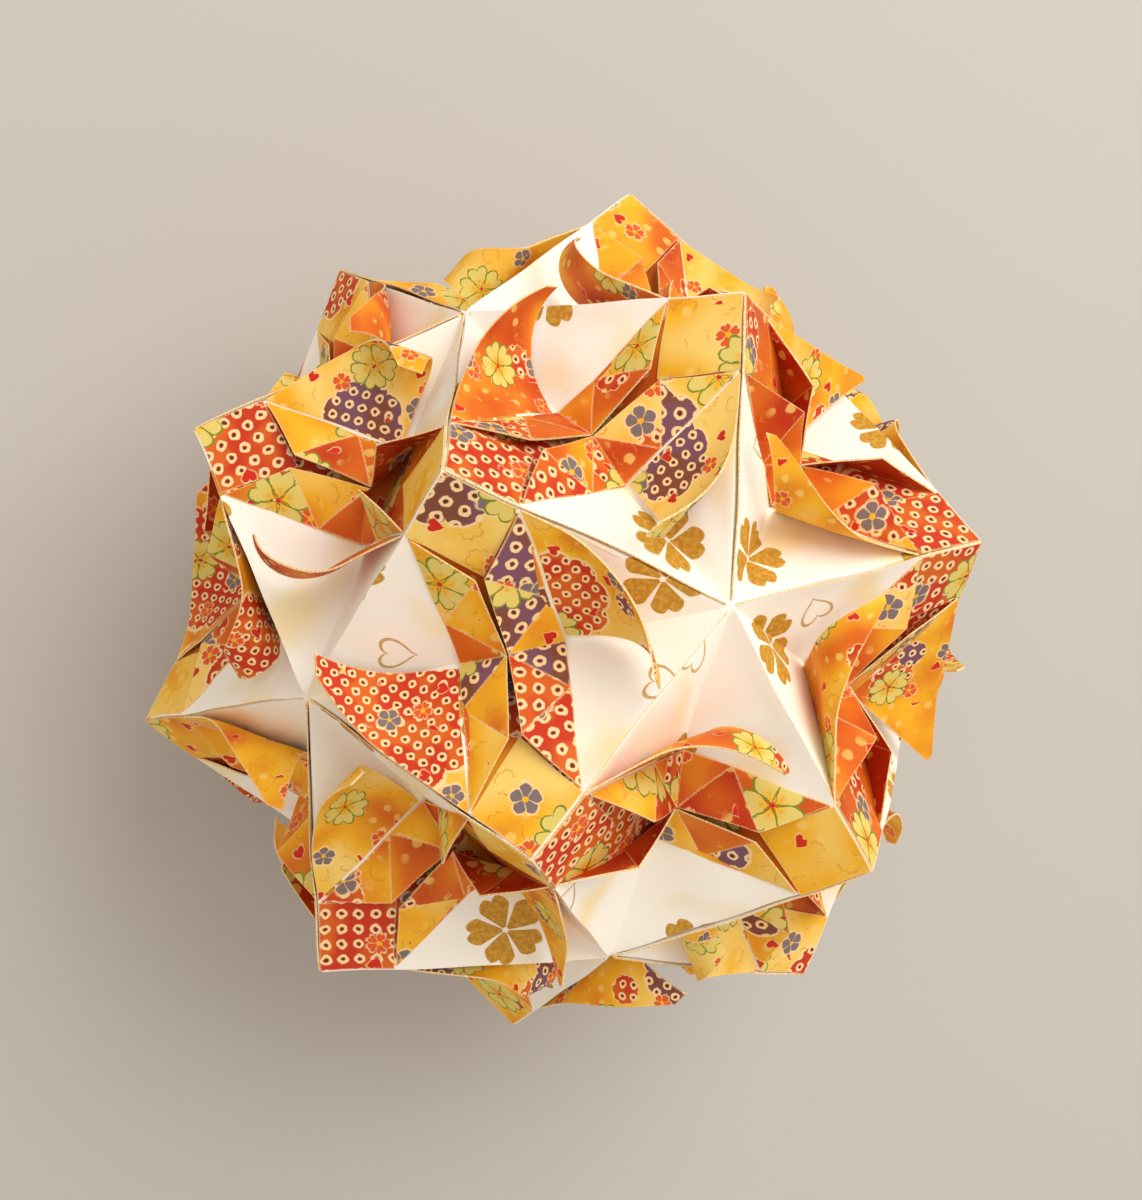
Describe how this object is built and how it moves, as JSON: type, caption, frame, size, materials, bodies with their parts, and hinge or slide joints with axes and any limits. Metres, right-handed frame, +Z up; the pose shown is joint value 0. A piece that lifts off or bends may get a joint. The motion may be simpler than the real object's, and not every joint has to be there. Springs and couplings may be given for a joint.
{
  "type": "kusudama paper ball",
  "caption": "Folded paper ball of interlocking sheets, with five-way valleys, three-way peaks, pleated strips and curled petals in warm printed paper.",
  "frame": {"origin": "centre of the ball", "axes": "+Z up as the ball rests on a valley corner and two peaks; +X towards the side it leans to"},
  "size_m": [0.122, 0.1152, 0.1055],
  "materials": {
    "printed_paper": "matte, printed"
  },
  "bodies": {
    "root": {"crown_sheet_1": "printed_paper", "crown_sheet_2": "printed_paper", "crown_sheet_3": "printed_paper", "crown_sheet_4": "printed_paper", "crown_sheet_5": "printed_paper", "shoulder_sheet_1": "printed_paper", "shoulder_sheet_2": "printed_paper", "shoulder_sheet_3": "printed_paper", "shoulder_sheet_4": "printed_paper", "shoulder_sheet_5": "printed_paper", "girdle_sheet_1": "printed_paper", "girdle_sheet_2": "printed_paper", "girdle_sheet_3": "printed_paper", "girdle_sheet_4": "printed_paper", "girdle_sheet_5": "printed_paper", "girdle_sheet_6": "printed_paper", "girdle_sheet_7": "printed_paper", "girdle_sheet_8": "printed_paper", "girdle_sheet_9": "printed_paper", "girdle_sheet_10": "printed_paper", "waist_sheet_1": "printed_paper", "waist_sheet_2": "printed_paper", "waist_sheet_3": "printed_paper", "waist_sheet_4": "printed_paper", "waist_sheet_5": "printed_paper", "foot_sheet_1": "printed_paper", "foot_sheet_2": "printed_paper", "foot_sheet_3": "printed_paper", "foot_sheet_4": "printed_paper", "foot_sheet_5": "printed_paper"}
  },
  "joints": []
}
